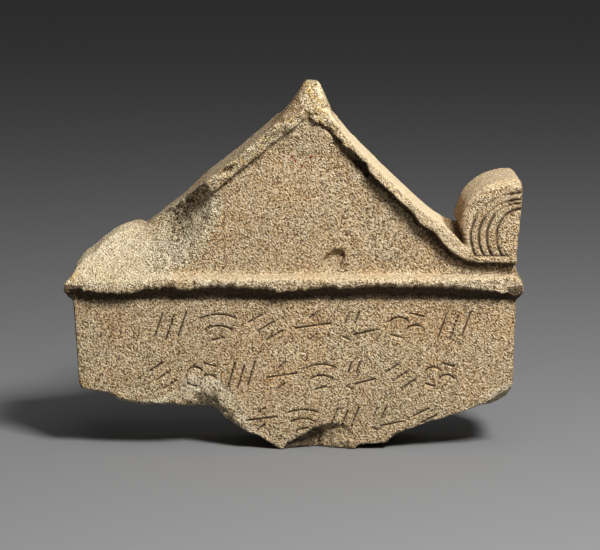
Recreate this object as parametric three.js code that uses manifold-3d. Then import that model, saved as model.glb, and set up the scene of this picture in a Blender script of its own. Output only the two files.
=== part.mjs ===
// The upper end of a small grave stele of buff marble, carved from one block and broken off below.
// A flat shaft with cut strokes, a projecting cornice, a pediment with raised rakes and one corner acroterion.
// Millimetres. X runs right across the carved face, Y into the stone, Z up from the broken foot.
import * as THREE from "three";
import { mergeVertices } from "three/addons/utils/BufferGeometryUtils.js";
import Module from "manifold-3d";

const wasm = await Module();
wasm.setup();

// Depths: the carved side faces -Y
const FACE_Y = -35;
const FRONT_Y = -49;
const BACK_Y = 49;
const BAND_ROOT_Y = FACE_Y + 6;

// The stone stands on a flat of its broken underside
const FOOT_LEFT = -12;
const FOOT_RIGHT = 58;

// Outlines in X and Z, as far as they go round the shaft and the pediment
const BREAK_EDGE = [
  [-211, 62], [-181, 57], [-175, 51], [-155, 47], [-121, 47], [-104, 43], [-84, 44], [-76, 41], [-69, 33],
  [-58, 25], [-46, 18], [-33, 13], [-24, 7], [FOOT_LEFT, 0], [FOOT_RIGHT, 0], [66, 5], [92, 7], [101, 16],
  [126, 25], [161, 36], [186, 44], [208, 49], [217, 62],
];
const RIGHT_FLANK = [[218, 80], [218.5, 104], [219.5, 135], [219.5, 176], [218, 196]];
const VALLEY = [[178, 207], [166, 208], [153, 220]];
const ROOF_RIGHT = [[125, 243], [86, 280], [56, 310]];
const APEX = [
  [45, 323], [38, 335], [33, 347], [28.5, 357.5], [24.5, 365], [21, 368], [16, 369], [11.5, 367.5], [8, 363.5],
  [3.6, 355.5], [-3, 345.5], [-13, 333],
];
const ROOF_LEFT = [[-24, 321.5], [-55, 295.5], [-86, 271.5], [-112, 247.6], [-149, 222]];
const LOST_CORNER = [
  [-156, 225], [-163, 222], [-176, 218], [-186, 210], [-205, 197], [-211, 188], [-215, 174], [-218, 158],
];
const LEFT_FLANK = [[-217.5, 135], [-215.5, 100], [-214, 69]];

// Unevenness of the underside, of the floor of the gap beside the leaf, and of the broken left edge
const UNDERSIDE = { top: 66, reach: 26, wave: 5, clear: 1.5 };
const GAP_FLOOR = { left: 140, middle: 160, right: 180, bottom: 200, top: 222, riseByRoof: 2, riseByLeaf: 10 };
const LOST_EDGE = { right: -153, bottom: 175, wave: 2.5 };

// Raised rakes: the outer line follows the roof, the inner line stands over the tympanum
const RAKE_INNER_LEFT = [[-140, 214], [-97, 245], [-70, 267], [-42, 289.5], [-10, 315.5]];
const RAKE_INNER_TOP = [[14, 334]];
const RAKE_INNER_RIGHT = [
  [30, 323], [60, 293], [84, 269.5], [114, 242], [124, 229], [137, 221], [146, 210], [156, 200],
  [169, 192.7], [182, 190.8],
];
const RAKE_CURL = [[219, 190], [219, 195.5], [192, 196.4], [177, 198.3], [168.8, 206], [147, 229]];

// The broken stump on the apex rises steeply from the front and falls away behind its crest
const STUMP_BASE_Z = 326;
const STUMP_FRONT_SCALE = 0.35;
const STUMP_CREST_Y = -24;
const STUMP_CREST_DEPTH = 14;
const STUMP_BACK_SCALE = 0.62;

// The cornice runs across the front and back along both flanks
const CORNICE_TOP_Z = 177.5;
const CORNICE_SHELF_Z = 174;
const CORNICE_FASCIA_Z = 171;
const CORNICE_UNDERCUT_Z = 160;
const CORNICE_SOFFIT_Z = 150;
const CORNICE_LIP_Y = -45;
const CORNICE_LIP = 3;
const CORNICE_WORN = 1.5;
const CORNICE_LEFT_X = -227.5;
const CORNICE_RIGHT_X = 227.5;
const FLANK_X = 217;
const ARRIS_STATION = 8;
const ARRIS_LINE = [
  [-227, 158], [-212, 167], [-191, 163.4], [-177, 161.5], [-161, 162.4], [-142, 166.3], [-127, 167.6],
  [-108, 166], [-77, 169], [-44, 168], [-9, 163.4], [10, 165.3], [28, 169], [51, 166.3], [79, 169.7],
  [107, 168.2], [145, 165.3], [183, 162.8], [202, 160], [227, 157],
];

// The corner acroterion is half a rounded leaf about this centre, cut off flat at the flank
const LEAF = { x: 221, z: 216, halfWidth: 59.5, halfHeight: 57.5, power: 2.3 };
const LEAF_FRONT_Y = FRONT_Y + 1.5;
const LEAF_FOOT = [168.5, 203];
const LEAF_NECK = [164.5, 221];
const LEAF_TOP_X = 222.5;
const LEAF_EDGE_DEG = 88;
const LEAF_NECK_DEG = 170;
const LEAF_ARC_STEPS = 14;
const LEAF_STATIONS = [0, 2, 5, 9, 16, 50, 84, 92, 96.5];
const LEAF_INSETS = [9, 5.5, 2.5, 0.8, 0, 0, 0, 1, 4];
const LEAF_GROOVES = [[22, 27], [31.5, 33], [39.5, 36.5], [47, 43]];
const LEAF_GROOVE_WIDTH = 3;
const LEAF_GROOVE_DEPTH = 2.2;
const LEAF_GROOVE_FOOT_Z = 198.5;

// The plane where the left corner broke away falls back from this line on the tympanum
const FRACTURE_LINE = [[-222, 172], [-112, 190], [-87.5, 216], [-77.5, 251], [-100, 268]];
const FRACTURE_SLOPE = 1.1;
const FRACTURE_BLEND = 10;
const FRACTURE_WAVE = 3;
const FRACTURE_BOX = { left: -262, right: -62, bottom: 158, top: 284, front: -72, lift: -60, step: 11 };

// Chips and hollows: centre, half sizes and turn in the plane of the face
const HOLLOWS = [
  { at: [37, -38, 12], half: [17, 8, 15], turn: 0 },
  { at: [6, -43, 3], half: [27, 16, 13], turn: -22 },
  { at: [-91, -37, 52], half: [10, 5, 9], turn: 20 },
  { at: [-73, -37, 45], half: [13, 9, 16], turn: 25 },
  { at: [200, -37, 47], half: [24, 11, 9], turn: -22 },
  { at: [39, -40, 188], half: [10, 11, 14], turn: -38 },
  { at: [-66, -48, 281], half: [10, 9, 4], turn: -20 },
  { at: [-217, -50, 161], half: [11, 9, 5], turn: 0 },
  { at: [-98, -51, 171], half: [3, 5, 6], turn: 0 },
  { at: [-228, 7, 167], half: [6, 22, 8], turn: 0 },
  { at: [229, 25, 160], half: [6, 15, 7], turn: 0 },
];

// The crumbled channel between the tympanum's right edge and its rake
const CHANNEL = [[14, 336], [17, 332], [44, 301.7], [69, 276.5], [72, 279], [50, 303], [20, 336]];
const CHANNEL_DEPTH = 5;

// Rows of cut strokes: each row's ends, foot and height, and the sign in each of its places
const STROKE_WIDTH = 3.2;
const STROKE_DEPTH = 1.7;
const STROKE_ARC_STEPS = 6;
const ROWS = [
  { left: -139, right: 177, foot: 111, height: 29, signs: [0, 1, 2, 3, 5, 4, 0] },
  { left: -145, right: 160, foot: 61.5, height: 28, signs: [2, 4, 0, 3, 1, 5, 2, 4] },
  { left: -48, right: 150, foot: 20, height: 23, signs: [3, 1, 0, 5, 2] },
];
const PLACE_FILL = 0.74;
const SIGNS = [
  [bar(0.02, 0.1, 0.26, 0.95), bar(0.34, 0.02, 0.58, 0.85), bar(0.7, 0.15, 0.94, 1.0)],
  [arc(0.5, -0.1, 1.0, 60, 120), arc(0.5, -0.1, 0.6, 50, 130), bar(0.3, 0.0, 0.66, 0.1)],
  [bar(0.0, 0.62, 0.48, 0.95), bar(0.26, 0.32, 0.74, 0.65), bar(0.52, 0.02, 1.0, 0.35)],
  [bar(0.0, 0.42, 1.0, 0.58), bar(0.4, 0.78, 0.62, 0.98), bar(0.38, 0.02, 0.6, 0.22)],
  [arc(0.25, 0.5, 0.3, 30, 150), arc(0.72, 0.22, 0.3, 30, 150), bar(0.56, 0.94, 0.96, 0.82), bar(0, 0.2, 0.3, 0.1)],
  [bar(0.06, 0.6, 0.18, 0.98), bar(0.34, 0.6, 0.46, 0.98), bar(0.3, 0.18, 1.0, 0.38), bar(0, 0.12, 0.2, 0)],
];

// Weathered marble
const stone = new THREE.MeshStandardMaterial({ color: 0xb39c78, roughness: 0.92, metalness: 0 });

// A stroke of a sign, in fractions of its place
function bar(u0, v0, u1, v1) {
  return [[u0, v0], [u1, v1]];
}

function arc(u, v, radius, fromDeg, toDeg) {
  const points = [];
  for (let i = 0; i <= STROKE_ARC_STEPS; i += 1) {
    const angle = THREE.MathUtils.degToRad(fromDeg + ((toDeg - fromDeg) * i) / STROKE_ARC_STEPS);
    points.push([u + radius * Math.cos(angle), v + radius * Math.sin(angle)]);
  }
  return points;
}

// A slow wave that makes broken stone uneven, the same on every run
function waver(a, b, c) {
  const first = Math.sin(a * 0.13 + b * 0.07);
  const second = Math.sin(b * 0.17 - c * 0.11 + 1.7);
  const third = Math.sin(c * 0.19 + a * 0.05 + 4.1);
  return (first + second + third) / 3;
}

function heightOnLine(line, x) {
  let i = 1;
  while (i < line.length - 1 && line[i][0] < x) {
    i += 1;
  }
  const [x0, z0] = line[i - 1];
  const [x1, z1] = line[i];
  const t = THREE.MathUtils.clamp((x - x0) / (x1 - x0), 0, 1);
  return z0 + t * (z1 - z0);
}

// Closed bodies for joining and cutting
function solidOf(geometry) {
  geometry.deleteAttribute("normal");
  geometry.deleteAttribute("uv");
  const merged = mergeVertices(geometry, 1e-4);
  const mesh = new wasm.Mesh({
    numProp: 3,
    vertProperties: new Float32Array(merged.attributes.position.array),
    triVerts: new Uint32Array(merged.index.array),
  });
  return new wasm.Manifold(mesh);
}

function geometryOf(solid) {
  const mesh = solid.getMesh();
  const geometry = new THREE.BufferGeometry();
  geometry.setAttribute("position", new THREE.BufferAttribute(new Float32Array(mesh.vertProperties), 3));
  geometry.setIndex(new THREE.BufferAttribute(new Uint32Array(mesh.triVerts), 1));
  geometry.computeVertexNormals();
  return geometry;
}

function joined(solids) {
  return solids.reduce((all, next) => all.add(next));
}

// Moves every corner of a geometry by a rule
function reshape(geometry, rule) {
  const position = geometry.attributes.position;
  const corner = new THREE.Vector3();
  for (let i = 0; i < position.count; i += 1) {
    corner.fromBufferAttribute(position, i);
    rule(corner);
    position.setXYZ(i, corner.x, corner.y, corner.z);
  }
  return geometry;
}

function extrude(outline, steps) {
  const shape = new THREE.Shape(outline.map(([a, b]) => new THREE.Vector2(a, b)));
  return new THREE.ExtrudeGeometry(shape, { depth: steps, steps, bevelEnabled: false });
}

// An X-Z outline carried through the stone, with a section at each of the given depths
function throughStone(outline, depths, rule = () => {}) {
  const last = depths.length - 1;
  const geometry = extrude(outline, last);
  geometry.rotateX(Math.PI / 2);
  return solidOf(reshape(geometry, (p) => {
    p.y = depths[last - Math.round(-p.y)];
    rule(p);
  }));
}

// A Y-Z profile carried across the face, with a section at every station
function acrossFace(profile, left, right, steps, rule = () => {}) {
  const geometry = extrude(profile, steps);
  geometry.applyMatrix4(new THREE.Matrix4().makeBasis(
    new THREE.Vector3(0, 1, 0), new THREE.Vector3(0, 0, 1), new THREE.Vector3(1, 0, 0),
  ));
  return solidOf(reshape(geometry, (p) => {
    p.x = left + ((right - left) * p.x) / steps;
    rule(p);
  }));
}

// The stump leans back from the front, and falls a little behind its crest
function wearStump(p) {
  const { lerp, smoothstep } = THREE.MathUtils;
  if (p.z > STUMP_BASE_Z) {
    const front = smoothstep(p.y, FRONT_Y, STUMP_CREST_Y);
    const back = smoothstep(p.y, STUMP_CREST_Y + STUMP_CREST_DEPTH, BACK_Y);
    const scale = lerp(STUMP_FRONT_SCALE, 1, front) * lerp(1, STUMP_BACK_SCALE, back);
    p.z = STUMP_BASE_Z + (p.z - STUMP_BASE_Z) * scale;
  }
}

// The underside is uneven behind its front edge, except on the flat that carries the stone
function wearUnderside(p) {
  if (p.z > 0.01 && p.z < UNDERSIDE.top) {
    const behind = THREE.MathUtils.smoothstep(p.y, FACE_Y, FACE_Y + UNDERSIDE.reach);
    p.z = Math.max(UNDERSIDE.clear, p.z + behind * (UNDERSIDE.wave * waver(p.x, p.y * 2, 10) - 2));
  }
}

// The floor of the gap beside the leaf rises to the back, and the broken left edge is uneven
function wearCorners(p) {
  const gap = GAP_FLOOR;
  if (p.x > gap.left && p.x < gap.right && p.z > gap.bottom && p.z < gap.top) {
    p.z += ((p.y - FACE_Y) / (BACK_Y - FACE_Y)) * (p.x < gap.middle ? gap.riseByRoof : gap.riseByLeaf);
  }
  if (p.x < LOST_EDGE.right && p.z > LOST_EDGE.bottom) {
    p.z += LOST_EDGE.wave * waver(p.x, p.y * 3, p.z);
  }
}

function makeSlab() {
  const outline = [
    ...BREAK_EDGE, ...RIGHT_FLANK, ...VALLEY, ...ROOF_RIGHT,
    ...APEX, ...ROOF_LEFT, ...LOST_CORNER, ...LEFT_FLANK,
  ];
  const depths = [FACE_Y, -24, -12, 2, 16, 32, BACK_Y];
  return throughStone(outline, depths, (p) => {
    wearStump(p);
    wearUnderside(p);
    wearCorners(p);
  });
}

function makeRakes() {
  const outline = [
    ...RAKE_INNER_LEFT, ...RAKE_INNER_TOP, ...RAKE_INNER_RIGHT, ...RAKE_CURL,
    ...ROOF_RIGHT, ...APEX, ...ROOF_LEFT,
  ];
  return throughStone(outline, [FRONT_Y, FACE_Y, BAND_ROOT_Y], wearStump);
}

// The front profile, with its lower arris chipped to an uneven line, meets the two side profiles in mitres
function makeCornice() {
  const arris = 0;
  const front = [
    [BACK_Y, CORNICE_TOP_Z], [BACK_Y, CORNICE_SOFFIT_Z], [FACE_Y + 1, CORNICE_SOFFIT_Z],
    [FACE_Y + 1, CORNICE_UNDERCUT_Z], [CORNICE_LIP_Y, arris - CORNICE_LIP], [FRONT_Y, arris],
    [FRONT_Y + 0.5, CORNICE_FASCIA_Z], [CORNICE_LIP_Y, CORNICE_SHELF_Z], [FACE_Y, CORNICE_TOP_Z],
  ];
  const steps = Math.round((CORNICE_RIGHT_X - CORNICE_LEFT_X) / ARRIS_STATION);
  const across = acrossFace(front, CORNICE_LEFT_X - 1, CORNICE_RIGHT_X + 1, steps, (p) => {
    if (p.z <= arris) {
      p.z += heightOnLine(ARRIS_LINE, p.x);
      p.y += CORNICE_WORN * Math.abs(waver(p.x * 3, 0, p.x));
    }
  });
  const side = [
    [-FLANK_X, CORNICE_SOFFIT_Z], [FLANK_X, CORNICE_SOFFIT_Z], [CORNICE_RIGHT_X - 3, 156],
    [CORNICE_RIGHT_X, 160], [CORNICE_RIGHT_X, 167], [CORNICE_RIGHT_X - 3, 172],
    [FLANK_X, CORNICE_TOP_Z], [-FLANK_X, CORNICE_TOP_Z], [CORNICE_LEFT_X + 3, 171],
    [CORNICE_LEFT_X, 166], [CORNICE_LEFT_X, 160], [CORNICE_LEFT_X + 3, 154],
  ];
  const along = throughStone(side, [FRONT_Y - 1, -30, -12, 4, 20, 36, BACK_Y + 1], (p) => {
    if (Math.abs(p.x) > FLANK_X + 1 && p.z > 153 && p.z < 175) {
      p.x -= Math.sign(p.x) * 2 * Math.abs(waver(p.y * 4, p.x, 0));
    }
  });
  return across.intersect(along);
}

function leafPoint(halfWidth, halfHeight, power, deg) {
  const c = Math.cos(THREE.MathUtils.degToRad(deg));
  const s = Math.sin(THREE.MathUtils.degToRad(deg));
  const reach = (Math.abs(c) ** power + Math.abs(s) ** power) ** (-1 / power);
  return [LEAF.x + halfWidth * reach * c, LEAF.z + halfHeight * reach * s];
}

function makeLeaf() {
  const outline = [[219, LEAF_FOOT[1]], [LEAF_TOP_X, 260]];
  for (let i = 0; i <= LEAF_ARC_STEPS; i += 1) {
    const deg = LEAF_EDGE_DEG + ((LEAF_NECK_DEG - LEAF_EDGE_DEG) * i) / LEAF_ARC_STEPS;
    outline.push(leafPoint(LEAF.halfWidth, LEAF.halfHeight, LEAF.power, deg));
  }
  outline.push(LEAF_NECK, LEAF_FOOT, [170, 194], [218.5, 194]);
  const depths = LEAF_STATIONS.map((d) => LEAF_FRONT_Y + d);
  const block = throughStone(outline, depths, (p) => {
    const inset = LEAF_INSETS[depths.indexOf(p.y)];
    if (p.z > LEAF.z) {
      p.z = LEAF.z + (p.z - LEAF.z) * (1 - inset / LEAF.halfHeight);
      p.x = p.x < LEAF.x ? LEAF.x + (p.x - LEAF.x) * (1 - (0.6 * inset) / LEAF.halfWidth) : p.x;
    }
  });
  return LEAF_GROOVES.reduce((rest, [a, b]) => rest.subtract(makeLeafGroove(a, b)), block);
}

// One groove of the leaf, an arc from the flank down to the band it springs from
function makeLeafGroove(halfWidth, halfHeight) {
  const half = LEAF_GROOVE_WIDTH / 2;
  const endDeg = 180 + THREE.MathUtils.radToDeg(Math.asin((LEAF.z - LEAF_GROOVE_FOOT_Z) / halfHeight));
  const outer = [];
  const inner = [];
  for (let i = 0; i <= LEAF_ARC_STEPS; i += 1) {
    const deg = 80 + ((endDeg - 80) * i) / LEAF_ARC_STEPS;
    outer.push(leafPoint(halfWidth + half, halfHeight + half, 2, deg));
    inner.unshift(leafPoint(halfWidth - half, halfHeight - half, 2, deg));
  }
  return throughStone([...outer, ...inner], [FRONT_Y - 4, LEAF_FRONT_Y + LEAF_GROOVE_DEPTH]);
}

function smoothMin(a, b, blend) {
  const h = Math.max(blend - Math.abs(a - b), 0) / blend;
  return Math.min(a, b) - (h * h * blend) / 4;
}

// How far a point of the face lies inside the lost corner, measured from the fracture line
function insideFracture(x, z) {
  let depth = Infinity;
  for (let i = 1; i < FRACTURE_LINE.length; i += 1) {
    const [x0, z0] = FRACTURE_LINE[i - 1];
    const [x1, z1] = FRACTURE_LINE[i];
    const length = Math.hypot(x1 - x0, z1 - z0);
    const away = ((x1 - x0) * (z - z0) - (z1 - z0) * (x - x0)) / length;
    depth = depth === Infinity ? away : smoothMin(depth, away, FRACTURE_BLEND);
  }
  return depth;
}

// What broke away at the left corner, with the uneven fracture as its rear side
function makeLostCorner() {
  const box = FRACTURE_BOX;
  const width = box.right - box.left;
  const height = box.top - box.bottom;
  const depth = FACE_Y - box.front;
  const across = Math.round(width / box.step);
  const up = Math.round(height / box.step);
  const geometry = new THREE.BoxGeometry(width, depth, height, across, 1, up);
  geometry.translate((box.left + box.right) / 2, (box.front + FACE_Y) / 2, (box.bottom + box.top) / 2);
  return solidOf(reshape(geometry, (p) => {
    if (p.y > box.front + 1) {
      const uneven = FRACTURE_WAVE * waver(p.x * 2, 0, p.z * 2);
      const depthBehindFace = FRACTURE_SLOPE * insideFracture(p.x, p.z) + uneven;
      p.y = Math.max(box.lift, FACE_Y + depthBehindFace);
    }
  }));
}

function makeHollow({ at, half, turn }) {
  const geometry = new THREE.SphereGeometry(1, 12, 8);
  reshape(geometry, (p) => p.multiplyScalar(1 + 0.09 * waver(p.x * 20, p.y * 25, p.z * 22)));
  geometry.scale(...half);
  geometry.rotateY(THREE.MathUtils.degToRad(turn));
  geometry.translate(...at);
  return solidOf(geometry);
}

function makeChannel() {
  return throughStone(CHANNEL, [FACE_Y - 3, FACE_Y + CHANNEL_DEPTH]);
}

// A cut stroke is a bar of diamond section laid half in the face, so that it leaves a V
function makeStroke(from, to) {
  const half = STROKE_WIDTH / 2;
  const run = Math.hypot(to[0] - from[0], to[1] - from[1]);
  const geometry = new THREE.CylinderGeometry(half, half, run + half, 4);
  geometry.rotateX(Math.PI / 2);
  geometry.scale(1, STROKE_DEPTH / half, 1);
  geometry.rotateY(Math.atan2(to[0] - from[0], to[1] - from[1]));
  geometry.translate((from[0] + to[0]) / 2, FACE_Y, (from[1] + to[1]) / 2);
  return solidOf(geometry);
}

function makeStrokes() {
  const strokes = [];
  for (const row of ROWS) {
    const pitch = (row.right - row.left) / (row.signs.length - 1 + PLACE_FILL);
    row.signs.forEach((sign, place) => {
      const toFace = ([u, v]) => [row.left + pitch * (place + PLACE_FILL * u), row.foot + row.height * v];
      for (const line of SIGNS[sign]) {
        const points = line.map(toFace);
        for (let i = 1; i < points.length; i += 1) {
          strokes.push(makeStroke(points[i - 1], points[i]));
        }
      }
    });
  }
  return joined(strokes);
}

const block = joined([makeSlab(), makeRakes(), makeCornice(), makeLeaf()]);
const losses = joined([makeLostCorner(), makeChannel(), makeStrokes(), ...HOLLOWS.map(makeHollow)]);
const stele = new THREE.Mesh(geometryOf(block.subtract(losses)), stone);
stele.name = "carved_stele";

const group = new THREE.Group();
group.add(stele);

export default group;
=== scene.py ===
"""The upper end of a broken marble grave stele, carved from one block, and the plain stage it stands on."""
import itertools
import math

import bpy
import numpy as np
import openvdb
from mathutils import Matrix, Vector


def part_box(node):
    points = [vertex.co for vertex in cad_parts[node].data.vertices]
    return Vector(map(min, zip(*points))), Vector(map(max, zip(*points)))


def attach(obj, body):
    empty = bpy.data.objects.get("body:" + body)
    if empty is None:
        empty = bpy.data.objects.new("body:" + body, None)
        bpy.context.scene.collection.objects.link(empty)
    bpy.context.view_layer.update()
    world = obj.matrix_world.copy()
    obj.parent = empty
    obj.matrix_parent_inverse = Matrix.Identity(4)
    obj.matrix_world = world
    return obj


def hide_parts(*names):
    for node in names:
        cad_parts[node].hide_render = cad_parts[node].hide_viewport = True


bl_info = {
    "name": "Grave stele fragment",
    "version": (1, 0, 0),
    "blender": (4, 5, 0),
    "location": "3D View > Sidebar > Stele",
    "description": "Carves the broken upper end of a marble grave stele and sets its stage",
    "category": "Object",
}

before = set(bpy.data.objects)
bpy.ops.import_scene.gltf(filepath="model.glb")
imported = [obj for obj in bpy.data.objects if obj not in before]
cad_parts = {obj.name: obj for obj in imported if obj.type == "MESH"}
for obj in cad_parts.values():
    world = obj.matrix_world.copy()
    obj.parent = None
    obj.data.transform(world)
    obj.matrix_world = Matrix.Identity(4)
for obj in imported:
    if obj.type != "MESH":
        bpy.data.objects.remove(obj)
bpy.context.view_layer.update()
NODE = "carved_stele"
MM = 0.001

# Depths in millimetres: the carved side faces -Y
LOW, HIGH = (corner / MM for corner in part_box(NODE))
FRONT_Y = LOW.y
BACK_Y = HIGH.y
RELIEF = 14
FACE_Y = FRONT_Y + RELIEF
BAND_ROOT_Y = FACE_Y + 6
MARGIN = 7

# Outlines in X and Z round the shaft and the pediment, in millimetres
FOOT_LEFT = -12
FOOT_RIGHT = 58
BREAK_EDGE = [
    (-211, 62), (-181, 57), (-175, 51), (-155, 47), (-121, 47), (-104, 43), (-84, 44), (-76, 41), (-69, 33),
    (-58, 25), (-46, 18), (-33, 13), (-24, 7), (FOOT_LEFT, 0), (FOOT_RIGHT, 0), (66, 5), (92, 7), (101, 16),
    (126, 25), (161, 36), (186, 44), (208, 49), (217, 62),
]
RIGHT_FLANK = [(218, 80), (218.5, 104), (219.5, 135), (219.5, 176), (218, 196)]
VALLEY = [(178, 207), (166, 208), (153, 220)]
ROOF_RIGHT = [(125, 243), (86, 280), (56, 310)]
APEX = [
    (45, 323), (38, 335), (33, 347), (28.5, 357.5), (25.5, 364), (22.5, 367), (12, 367.2), (9, 364.5),
    (3.6, 355.5), (-3, 345.5), (-13, 333),
]
ROOF_LEFT = [(-24, 321.5), (-55, 295.5), (-86, 271.5), (-112, 247), (-149, 218.5)]
LOST_CORNER = [
    (-155, 220), (-163, 219.3), (-176, 215.8), (-187, 206.5), (-200, 195), (-209, 190.5), (-216, 183.5),
    (-219, 174), (-219, 158),
]
LEFT_FLANK = [(-217.5, 135), (-215.5, 100), (-214, 69)]
SLAB_OUTLINE = BREAK_EDGE + RIGHT_FLANK + VALLEY + ROOF_RIGHT + APEX + ROOF_LEFT + LOST_CORNER + LEFT_FLANK

# Raised rakes: the outer line follows the roof, the inner line stands over the pediment's field
RAKE_INNER_LEFT = [(-140, 214), (-97, 245), (-70, 267), (-42, 289.5), (-10, 315.5)]
RAKE_INNER_RIGHT = [
    (14, 334), (30, 323), (60, 293), (84, 269.5), (114, 242), (124, 229), (137, 221), (146, 210), (156, 200),
    (169, 192.7), (182, 190.8),
]
RAKE_CURL = [(219, 190), (219, 195.5), (192, 196.4), (177, 198.3), (168.8, 206), (147, 229)]
RAKE_OUTLINE = RAKE_INNER_LEFT + RAKE_INNER_RIGHT + RAKE_CURL + ROOF_RIGHT + APEX + ROOF_LEFT
FIELD_OUTLINE = RAKE_INNER_LEFT + RAKE_INNER_RIGHT

# How far the rakes' front is worn back along X, and how far the left one leans back towards its lower arris
RAKE_SETBACK = [
    (-140, 1.5), (-60, 2.5), (-20, 2.5), (0, 1.5), (14, 4), (34, 7), (60, 4.5), (90, 1.5), (150, 1),
    (170, 0.5),
]
RAKE_LEAN = 4
RAKE_LEAN_REACH = 12

# How far the field comes forward under the apex, between two heights, and under the curl
APEX_FIELD_RISE = 4.5
APEX_RISE_SPAN = (290, 326)
CURL_FIELD_RISE = 4

# The broken stump on the apex rises steeply from the front and falls away behind its crest
STUMP_BASE_Z = 326
STUMP_FRONT_SCALE = 0.35
STUMP_CREST_Y = -24
STUMP_CREST_DEPTH = 14
STUMP_BACK_SCALE = 0.62

# The cornice runs across the front and back along both flanks
CORNICE_TOP_Z = 177.5
CORNICE_SHELF_Z = 176
CORNICE_FASCIA_Z = 174
CORNICE_NOSE = 3
CORNICE_COVE = 5
CORNICE_UNDERCUT_Z = 160
CORNICE_SOFFIT_Z = 150
CORNICE_LIP = 2
CORNICE_REACH = HIGH.x
CORNICE_END_SETBACK = 5
CORNICE_END_SPAN = (180, 214)
FLANK_X = 217
ARRIS_LINE = [
    (-227, 158), (-212, 167), (-191, 163.4), (-177, 161.5), (-161, 162.4), (-142, 166.3), (-127, 167.6),
    (-108, 166), (-77, 169), (-44, 168), (-9, 163.4), (10, 165.3), (28, 169), (51, 167.3), (79, 170),
    (107, 169.7), (145, 168.5), (183, 165.8), (202, 163), (216, 159), (227, 157),
]

# The left return is broken off behind its front knob, between these depths
LEFT_RETURN_LOST = (-34, -22)
CORNICE_SIDE = [
    (CORNICE_SOFFIT_Z, FLANK_X), (155, CORNICE_REACH - 3), (160, CORNICE_REACH), (167, CORNICE_REACH),
    (171.5, CORNICE_REACH - 3), (CORNICE_TOP_Z, FLANK_X),
]

# The corner acroterion is half a rounded leaf about this centre, cut off flat at the flank
LEAF_X = 221
LEAF_Z = 216
LEAF_HALF_WIDTH = 59.5
LEAF_HALF_HEIGHT = 57.5
LEAF_POWER = 2.3
LEAF_FRONT_Y = FRONT_Y + 1.5
LEAF_ROOT_Z = 194
LEAF_NECK = [(194, 170), (203, 168.5), (221, 164.5), (240, 150)]
LEAF_FLANK = [(190, 218), (260, 224)]
LEAF_ROUND = 11
LEAF_CORNER = 7
LEAF_GROOVES = [(22, 27), (31.5, 33), (39.5, 36.5), (47, 43)]
LEAF_GROOVE_WIDTH = 2.8
LEAF_GROOVE_LEAN = 1.6
LEAF_GROOVE_DEPTH = 3.2
LEAF_GROOVE_FOOT_Z = 198
LEAF_FOOT_LINE = [(177, 197.6), (186, 197.2), (209, 197.4)]

# Where stone broke away: a line on the face, with the loss on its left hand, and how the break falls back
LOST_CORNER_BREAK = dict(
    line=[(-222, 172), (-112, 190), (-87.5, 216), (-77.5, 251), (-100, 268)],
    slope=1.1, blend=12, rough=1.8, wave=17)
NOTCH_BREAK = dict(
    line=[(-48, 20), (-68, 46.5), (-77, 60.5), (-93, 55)],
    slope=0.85, blend=3, rough=3.6, wave=5)
CHIP_BREAK = dict(
    line=[(-80, 40), (-85, 58), (-99, 60), (-108, 40)],
    slope=0.7, blend=3, rough=0.8, wave=6)
RIGHT_CHUNK_BREAK = dict(
    line=[(236, 76), (217, 65), (200, 56), (176, 41), (160, 26)],
    slope=2, blend=3, rough=2.4, wave=8)
BREAKS = [LOST_CORNER_BREAK, NOTCH_BREAK, CHIP_BREAK, RIGHT_CHUNK_BREAK]

# The spall above the foot: its outline on the face, and the most that it falls back along X
SPALL_OUTLINE = [
    (-18, -12), (-11, 4), (-6.8, 8.9), (8, 15.5), (19, 22.8), (30, 25.6), (43.5, 25.9), (55.7, 22.8),
    (60, 15), (61, -12),
]
SPALL_FALL = [(-10, 3), (8, 9), (22, 15), (32, 10), (44, 5), (52, 3), (60, 0)]

# The crumbled channel between the field's right edge and its rake, and the bite along the rake's lower arris
CHANNEL = [
    (16, 337), (18, 334), (44, 307), (58, 293), (70, 275), (73, 278), (70, 288), (56, 302), (41, 319),
    (25, 336),
]
CHANNEL_DEPTH = 5
RAKE_BITE = [(24, 327), (34, 319), (58, 295), (70, 283)]
RAKE_BITE_REACH = 2

# Chips that slope in along their length: centre, half sizes, turn and depth
FLAKES = [
    ((38, 189), (14.5, 9.5), 52, 9.5),
    ((47, 186), (7, 1.6), 0, 1.5),
    ((196, 157), (2, 1.5), 0, 1.5),
    ((-14, 11), (3.5, 3), 30, 2.2),
]

# The most crumbled stone of the lost corner lies along this line
CRUMBLED_LINE = [(-92, 262), (-108, 247), (-113, 226), (-117, 208)]
CRUMBLED_REACH = 12
# Painted shadow lies along this line, under the broken end of the left roof
LEDGE_LINE = [(-153, 212), (-136, 225), (-122, 237)]

# Hollows that undercut the face: centre, half sizes and turn in the plane of the face
HOLLOWS = [
    ((-66, -48, 281), (10, 9, 4), 35),
    ((-217, -50, 161), (11, 9, 5), 0),
    ((-98.5, -50, 170), (2, 6, 6), 0),
    ((229, 25, 160), (6, 15, 7), 0),
    ((-130, 9, 215), (19, 8, 4.5), 35),
    ((203, -36, 158), (4, 2, 3), 0),
]

# Rows of cut strokes that stand for the inscription: ends, foot and height, and the sign in each place
PLACE_FILL = 0.74
ROWS = [
    (-139, 177, 111, 29, (0, 1, 2, 3, 5, 4, 0)),
    (-145, 160, 61.5, 28, (2, 4, 0, 3, 1, 5, 2, 4)),
    (-48, 150, 20, 23, (3, 1, 0, 5, 2)),
]
ARC_STEPS = 6


def bar(u0, v0, u1, v1):
    """A straight stroke, in fractions of its place."""
    return [(u0, v0), (u1, v1)]


def arc(u, v, radius, start, end):
    """A curved stroke about a centre, between two angles in degrees."""
    angles = [math.radians(start + (end - start) * i / ARC_STEPS) for i in range(ARC_STEPS + 1)]
    return [(u + radius * math.cos(a), v + radius * math.sin(a)) for a in angles]


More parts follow.
